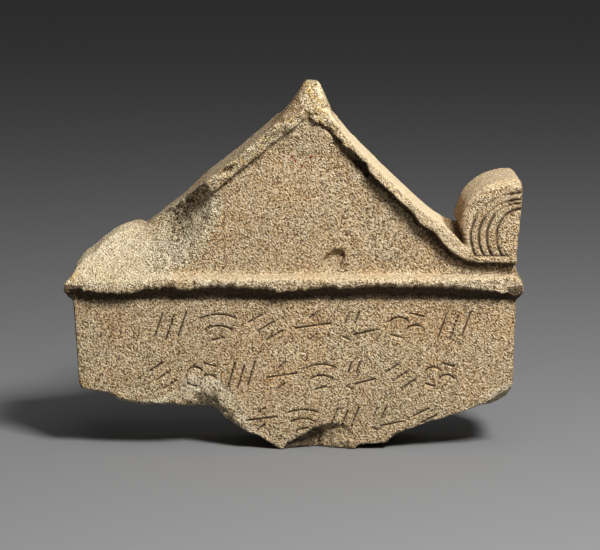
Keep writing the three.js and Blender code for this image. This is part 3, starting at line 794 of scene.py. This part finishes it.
def weathered_marble(colours):
    """Coarse-grained marble, chiselled, then weathered: a sugary pitted grain with a buff patina, paler where it
    broke, yellow ochre along the worn arrises, and dark dirt in the deep pits. Painted shade darkens recesses, cut
    bottoms and sides turned from the light, and painted highlight makes some tops paler. It has no polish left, so it
    is matt."""
    material, tree = make_material("weathered_marble")
    place = add_node(tree, "ShaderNodeTexCoord").outputs["Object"]
    areas = add_node(tree, "ShaderNodeAttribute", attribute_name="weathering_and_shade")
    split = add_node(tree, "ShaderNodeSeparateColor", {"Color": areas.outputs["Color"]})
    broken = split.outputs["Red"]
    ochre = split.outputs["Green"]
    shade_and_dirt_share = split.outputs["Blue"]
    # The patina attribute also carries painted highlight and painted warm shade
    patina = add_node(tree, "ShaderNodeAttribute", attribute_name="patina")
    split_patina = add_node(tree, "ShaderNodeSeparateColor", {"Color": patina.outputs["Color"]})
    worn_and_lit = split_patina.outputs["Red"]
    warm_shade = split_patina.outputs["Green"]
    cut = split_patina.outputs["Blue"]
    crumbled = patina.outputs["Alpha"]

    def mix(factor, first, second, blend="MIX"):
        return add_node(
            tree, "ShaderNodeMix", {0: factor, 6: first, 7: second}, data_type="RGBA", blend_type=blend,
        ).outputs[2]

    def math_of(operation, first, second):
        return add_node(tree, "ShaderNodeMath", {0: first, 1: second}, operation=operation).outputs[0]

    def waves(size, detail, vector=place):
        return add_node(
            tree, "ShaderNodeTexNoise",
            {"Vector": vector, "Scale": per_mm(size), "Detail": detail, "Roughness": 0.6},
        ).outputs["Fac"]

    def between(value, low, high):
        return add_node(
            tree, "ShaderNodeMapRange",
            {"Value": value, "From Min": low, "From Max": high}, interpolation_type="SMOOTHSTEP",
        ).outputs["Result"]

    # Chisel and weather draw the grain out along a diagonal of the face
    drawn = add_node(
        tree, "ShaderNodeMapping", {"Vector": place, "Rotation": (0, GRAIN_TURN, 0), "Scale": (1, 1, 1.5)},
        vector_type="TEXTURE",
    ).outputs["Vector"]
    grain = waves(GRAIN_SIZE, 1.0, drawn)
    cells = add_node(tree, "ShaderNodeTexVoronoi", {"Vector": drawn, "Scale": per_mm(CRYSTAL_SIZE)}).outputs["Color"]
    crystals = add_node(tree, "ShaderNodeSeparateColor", {"Color": cells}).outputs["Red"]
    pits = between(waves(PIT_SIZE, 1.5, drawn), 0.40, 0.31)
    patches = between(waves(PATCH_SIZE, 3.0), 0.35, 0.68)
    clouds = between(waves(CLOUD_SIZE, 2.0), 0.35, 0.65)
    coarse = math_of("SUBTRACT", 1.0, math_of("MULTIPLY", math_of("MAXIMUM", worn_and_lit, cut), 0.85))

    def on_coarse(value, strength):
        return math_of("MULTIPLY", math_of("MULTIPLY", value, strength), coarse)

    face = mix(patches, (*colours.face, 1), (*colours.face_warm, 1))
    face = mix(math_of("MULTIPLY", clouds, 0.45), face, (*colours.face_grey, 1))
    pale = mix(patches, (*colours.fresh, 1), (*colours.fresh_warm, 1))
    stained = mix(between(waves(STAIN_SIZE, 3.0), 0.38, 0.62), pale, (*colours.ochre, 1))
    base = mix(broken, face, pale)
    base = mix(ochre, base, stained)
    # Paler where worn smooth and as painted highlight; browner as painted warm shade on sides turned from the light
    base = mix(worn_and_lit, base, (*colours.worn_and_lit, 1))
    base = mix(math_of("MULTIPLY", warm_shade, 0.75), base, (*colours.warm_shade, 1))
    base = mix(on_coarse(between(grain, 0.56, 0.38), 1.0), base, (*colours.grain_shade, 1), "MULTIPLY")
    base = mix(on_coarse(between(crystals, 0.40, 0.0), 0.35), base, (*colours.grain_shade, 1), "MULTIPLY")
    base = mix(on_coarse(between(crystals, 0.55, 1.0), 0.45), base, (*colours.crystal, 1))
    base = mix(on_coarse(pits, 0.75), base, (*colours.dirt_and_shade, 1))
    crumbs = math_of("MULTIPLY", crumbled, between(waves(CRUMB_SIZE, 2.0), 0.50, 0.40))
    base = mix(crumbs, base, (*colours.dirt_and_shade, 1))
    # Painted shade with some dirt in recesses, broken up by small waves
    shade_and_grime = math_of("ADD", shade_and_dirt_share, math_of("MULTIPLY", waves(SOIL_SIZE, 2.0), 0.8))
    base = mix(math_of("MULTIPLY", between(shade_and_grime, 0.75, 1.15), 0.85), base, (*colours.dirt_and_shade, 1))
    # Painted shade in the bottoms of the cut strokes and the leaf's grooves
    base = mix(math_of("MULTIPLY", between(cut, 0.15, 0.75), 0.9), base, (*colours.dirt_and_shade, 1))
    base = mix(red_dabs(tree, place), base, (*colours.red, 1))

    height = math_of("ADD", grain, math_of("MULTIPLY", crystals, 0.1))
    height = math_of("SUBTRACT", height, math_of("MULTIPLY", pits, 0.5))
    height = math_of("MULTIPLY", height, coarse)
    bump = add_node(
        tree, "ShaderNodeBump", {"Height": height, "Strength": 1.0, "Distance": colours.relief},
    ).outputs["Normal"]
    shader = add_node(tree, "ShaderNodeBsdfPrincipled", {
        "Base Color": base, "Roughness": 0.88, "IOR": 1.5, "Specular IOR Level": 0.25, "Normal": bump,
    })
    add_node(tree, "ShaderNodeOutputMaterial", {"Surface": shader.outputs["BSDF"]})
    return material


def red_dabs(tree, place):
    """Where the worn dabs of red paint lie on the field: flecks inside a small window."""
    axes = add_node(tree, "ShaderNodeSeparateXYZ", {"Vector": place})
    mask = None
    for socket, (low, high) in ((axes.outputs["X"], RED_DABS_X), (axes.outputs["Z"], RED_DABS_Z)):
        middle = (low + high) / 2 * MM
        away = add_node(tree, "ShaderNodeMath", {0: socket, 1: middle}, operation="SUBTRACT").outputs[0]
        size = add_node(tree, "ShaderNodeMath", {0: away}, operation="ABSOLUTE").outputs[0]
        half = (high - low) / 2 * MM
        near = add_node(
            tree, "ShaderNodeMapRange", {"Value": size, "From Min": half, "From Max": 0.8 * half},
        ).outputs["Result"]
        mask = near if mask is None else add_node(
            tree, "ShaderNodeMath", {0: mask, 1: near}, operation="MULTIPLY").outputs[0]
    flecks = add_node(tree, "ShaderNodeTexNoise", {"Vector": place, "Scale": per_mm(5.0), "Detail": 1.0})
    worn = add_node(
        tree, "ShaderNodeMapRange", {"Value": flecks.outputs["Fac"], "From Min": 0.585, "From Max": 0.615},
    ).outputs["Result"]
    front = add_node(
        tree, "ShaderNodeMapRange",
        {"Value": axes.outputs["Y"], "From Min": (FACE_Y + 4) * MM, "From Max": (FACE_Y + 3) * MM},
    ).outputs["Result"]
    shown = add_node(tree, "ShaderNodeMath", {0: worn, 1: front}, operation="MULTIPLY").outputs[0]
    return add_node(tree, "ShaderNodeMath", {0: mask, 1: shown}, operation="MULTIPLY").outputs[0]


def studio_paper(colour):
    """Matt background paper, rolled smooth: an even grey with no gloss."""
    material, tree = make_material("studio_paper")
    place = add_node(tree, "ShaderNodeTexCoord").outputs["Object"]
    fibre = add_node(tree, "ShaderNodeTexNoise", {"Vector": place, "Scale": per_mm(2.0), "Detail": 2.0})
    base = add_node(tree, "ShaderNodeMix", {
        0: fibre.outputs["Fac"], 6: (*(c * 0.98 for c in colour), 1), 7: (*colour, 1),
    }, data_type="RGBA").outputs[2]
    shader = add_node(
        tree, "ShaderNodeBsdfPrincipled", {"Base Color": base, "Roughness": 0.95, "Specular IOR Level": 0.1})
    add_node(tree, "ShaderNodeOutputMaterial", {"Surface": shader.outputs["BSDF"]})
    return material


# What a user can change

def length(name, description, default):
    return bpy.props.FloatProperty(
        name=name, description=description, default=default, unit="LENGTH", precision=5)


def colour(name, description, code):
    return bpy.props.FloatVectorProperty(
        name=name, description=description, default=linear(code), subtype="COLOR", min=0, max=1)


class SteleSizes(bpy.types.PropertyGroup):
    step: length("Surface step", "Distance between the points of the carved face", 0.00135)
    quick_step: length("Quick surface step", "The same while trying things out", 0.0022)
    arris: length("Arris radius", "Rounding of the worn edges", 0.0018)
    stroke_width: length("Stroke width", "Width of the cut strokes", 0.003)
    stroke_depth: length("Stroke depth", "Depth of the cut strokes", 0.0023)
    break_height: length("Break roughness", "Height of the lumps on broken stone", 0.0019)
    grain_height: length("Grain height", "Height of the marble's grain", 0.00022)
    triangles: bpy.props.IntProperty(
        name="Triangles", description="Most triangles that the stone may have", default=197000, min=1000)


class SteleColours(bpy.types.PropertyGroup):
    face: colour("Face", "Buff patina of the carved faces", "#d2b98f")
    face_warm: colour("Warm face", "Browner patches of the patina", "#cca97b")
    face_grey: colour("Grey face", "Greyer clouds of the patina", "#c2af8c")
    fresh: colour("Break", "Paler stone where it broke", "#dccdae")
    fresh_warm: colour("Warm break", "Yellower parts of the breaks", "#cfba90")
    ochre: colour("Ochre", "Stain along the worn arrises", "#c8a65c")
    # Pale tops: partly worn smooth, partly painted highlight on tops facing the light
    worn_and_lit: colour("Rubbed stone", "Smooth pale tops", "#dcc7a2")
    # Painted warm shade, not patina: browns the sides turned left or down, away from the key light
    warm_shade: colour("Sheltered stone", "Brown patina of faces turned left or down", "#9a7142")
    grain_shade: colour("Grain shade", "Tone between the grains", "#8f7a5c")
    crystal: colour("Crystals", "The lightest crystals", "#f6e8cb")
    # This dark colour serves for dirt in the pits and crumbs and for painted shade in recesses and cut bottoms
    dirt_and_shade: colour("Soil", "Dark soil in the pits", "#3d2d1e")
    red: colour("Red paint", "The worn dabs on the field", "#8f2a20")
    relief: length("Grain relief", "Depth of the grain that only the light shows", 0.0034)


class StageSizes(bpy.types.PropertyGroup):
    floor_colour: colour("Floor", "Plain grey floor", "#787878")
    floor_radius: length("Floor radius", "Reach of the floor", 12.0)
    camera_distance: length("Camera distance", "From the camera to the middle of the stone", 2.6)
    camera_tilt: bpy.props.FloatProperty(
        name="Camera tilt", description="How far the camera looks down", default=math.radians(9.5),
        subtype="ANGLE")
    lens: bpy.props.FloatProperty(
        name="Lens", description="Focal length on a 36 mm sensor", default=156, unit="CAMERA")
    key_power: bpy.props.FloatProperty(
        name="Key light", description="Power of the key light", default=99, unit="POWER")
    key_size: length("Key size", "Side of the square key light", 0.6)
    key_distance: length("Key distance", "From the key light to the stone", 2.4)
    top_power: bpy.props.FloatProperty(
        name="Top light", description="Power of the soft light overhead", default=13, unit="POWER")
    top_size: length("Top size", "Side of the square light overhead", 1.6)
    top_distance: length("Top distance", "From the light overhead to the stone", 2.4)
    fill: bpy.props.FloatProperty(
        name="Fill", description="Strength of the light from behind", default=0.21, min=0)


# Operators

class STELE_OT_carve_stone(bpy.types.Operator):
    """Carve the broken stele from one block of marble"""
    bl_idname = "stele.carve_stone"
    bl_label = "Carve the stone"

    def execute(self, context):
        sizes = context.scene.stele_sizes
        step = sizes.step / MM
        points, faces = mesh_of_field(step, sizes.arris / MM)
        if len(faces) == 0:
            raise RuntimeError("the stone came out empty")
        stone = mesh_object("stele_stone", points, faces)
        set_corner_points(stone.data, weather(points, corner_normals(stone.data), sizes))
        thin_mesh(stone, corner_normals(stone.data), sizes.triangles)
        mesh = stone.data
        points, normals = corner_points(mesh), corner_normals(mesh)
        shown, ochre, shade_and_dirt_share, back = surface_regions(points, normals)
        worn_and_lit, warm_shade, crumbled = wear_and_painted_light(points, normals)
        cut, depth = cut_details(points, normals, sizes)
        set_corner_points(mesh, cut)
        paint_corners(mesh, "weathering_and_shade", shown, ochre, shade_and_dirt_share, back)
        paint_corners(mesh, "patina", worn_and_lit, warm_shade, depth, crumbled)
        mesh.shade_smooth()
        mesh.materials.append(weathered_marble(context.scene.stele_colours))
        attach(stone, "root")
        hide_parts(NODE)
        return {"FINISHED"}


class STELE_OT_set_stage(bpy.types.Operator):
    """Set the floor, the lights and the camera"""
    bl_idname = "stele.set_stage"
    bl_label = "Set the stage"

    def execute(self, context):
        stage = context.scene.stele_stage
        make_floor(stage)
        make_soft_light("key_light", KEY_FROM, stage.key_power, stage.key_size, stage.key_distance)
        make_soft_light("top_light", TOP_FROM, stage.top_power, stage.top_size, stage.top_distance)
        make_fill(context.scene, stage)
        make_camera(context.scene, stage)
        return {"FINISHED"}


FLOOR_SIDES = 96
KEY_FROM = Vector((0.6, -1.0, 1.18))
TOP_FROM = Vector((0.1, -0.4, 1.0))
LOOK_AT = Vector((0.006, -0.001, 0.171))


def make_floor(stage):
    turns = [2 * math.pi * i / FLOOR_SIDES for i in range(FLOOR_SIDES)]
    rim = [(stage.floor_radius * math.cos(t), stage.floor_radius * math.sin(t), 0) for t in turns]
    mesh = bpy.data.meshes.new("floor")
    mesh.from_pydata(rim, [], [tuple(range(FLOOR_SIDES))])
    mesh.materials.append(studio_paper(stage.floor_colour))
    floor = bpy.data.objects.new("floor", mesh)
    bpy.context.scene.collection.objects.link(floor)


def make_soft_light(name, side, power, size, distance):
    light = bpy.data.lights.new(name, "AREA")
    light.energy = power
    light.size = size
    lamp = bpy.data.objects.new(name, light)
    lamp.location = LOOK_AT + side.normalized() * distance
    lamp.rotation_euler = (-side).to_track_quat("-Z", "Y").to_euler()
    lamp.visible_camera = False
    bpy.context.scene.collection.objects.link(lamp)


def make_fill(scene, stage):
    """A dark studio with a paler wall behind, which lights the far floor and no recess of the carved face."""
    world = bpy.data.worlds.new("studio")
    world.use_nodes = True
    tree = world.node_tree
    tree.nodes.clear()
    side = add_node(tree, "ShaderNodeTexCoord").outputs["Generated"]
    behind = add_node(tree, "ShaderNodeSeparateXYZ", {"Vector": side}).outputs["Y"]
    strength = add_node(
        tree, "ShaderNodeMapRange", {"Value": behind, "From Min": 0.0, "From Max": 0.4, "To Max": stage.fill},
    ).outputs["Result"]
    sky = add_node(tree, "ShaderNodeBackground", {"Color": (1, 1, 1, 1), "Strength": strength})
    add_node(tree, "ShaderNodeOutputWorld", {"Surface": sky.outputs["Background"]})
    scene.world = world
    scene.view_settings.view_transform = "Standard"


def make_camera(scene, stage):
    lens = bpy.data.cameras.new("camera")
    lens.sensor_width = 36
    lens.lens = stage.lens
    camera = bpy.data.objects.new("camera", lens)
    back = Vector((0, -math.cos(stage.camera_tilt), math.sin(stage.camera_tilt)))
    camera.location = LOOK_AT + back * stage.camera_distance
    camera.rotation_euler = (math.pi / 2 - stage.camera_tilt, 0, 0)
    scene.collection.objects.link(camera)
    scene.camera = camera


class STELE_PT_panel(bpy.types.Panel):
    """Lists the stele's sizes, colours and operators"""
    bl_idname = "STELE_PT_panel"
    bl_label = "Stele"
    bl_space_type = "VIEW_3D"
    bl_region_type = "UI"
    bl_category = "Stele"

    def draw(self, context):
        layout = self.layout
        for operator in (STELE_OT_carve_stone, STELE_OT_set_stage):
            layout.operator(operator.bl_idname)
        for group in (context.scene.stele_sizes, context.scene.stele_colours, context.scene.stele_stage):
            box = layout.box()
            for name in group.__annotations__:
                box.prop(group, name)


CLASSES = (SteleSizes, SteleColours, StageSizes, STELE_OT_carve_stone, STELE_OT_set_stage, STELE_PT_panel)


def register():
    for item in CLASSES:
        bpy.utils.register_class(item)
    bpy.types.Scene.stele_sizes = bpy.props.PointerProperty(type=SteleSizes)
    bpy.types.Scene.stele_colours = bpy.props.PointerProperty(type=SteleColours)
    bpy.types.Scene.stele_stage = bpy.props.PointerProperty(type=StageSizes)


def unregister():
    del bpy.types.Scene.stele_stage
    del bpy.types.Scene.stele_colours
    del bpy.types.Scene.stele_sizes
    for item in reversed(CLASSES):
        bpy.utils.unregister_class(item)


def main():
    register()
    bpy.ops.stele.carve_stone()
    bpy.ops.stele.set_stage()


if __name__ == "__main__":
    main()
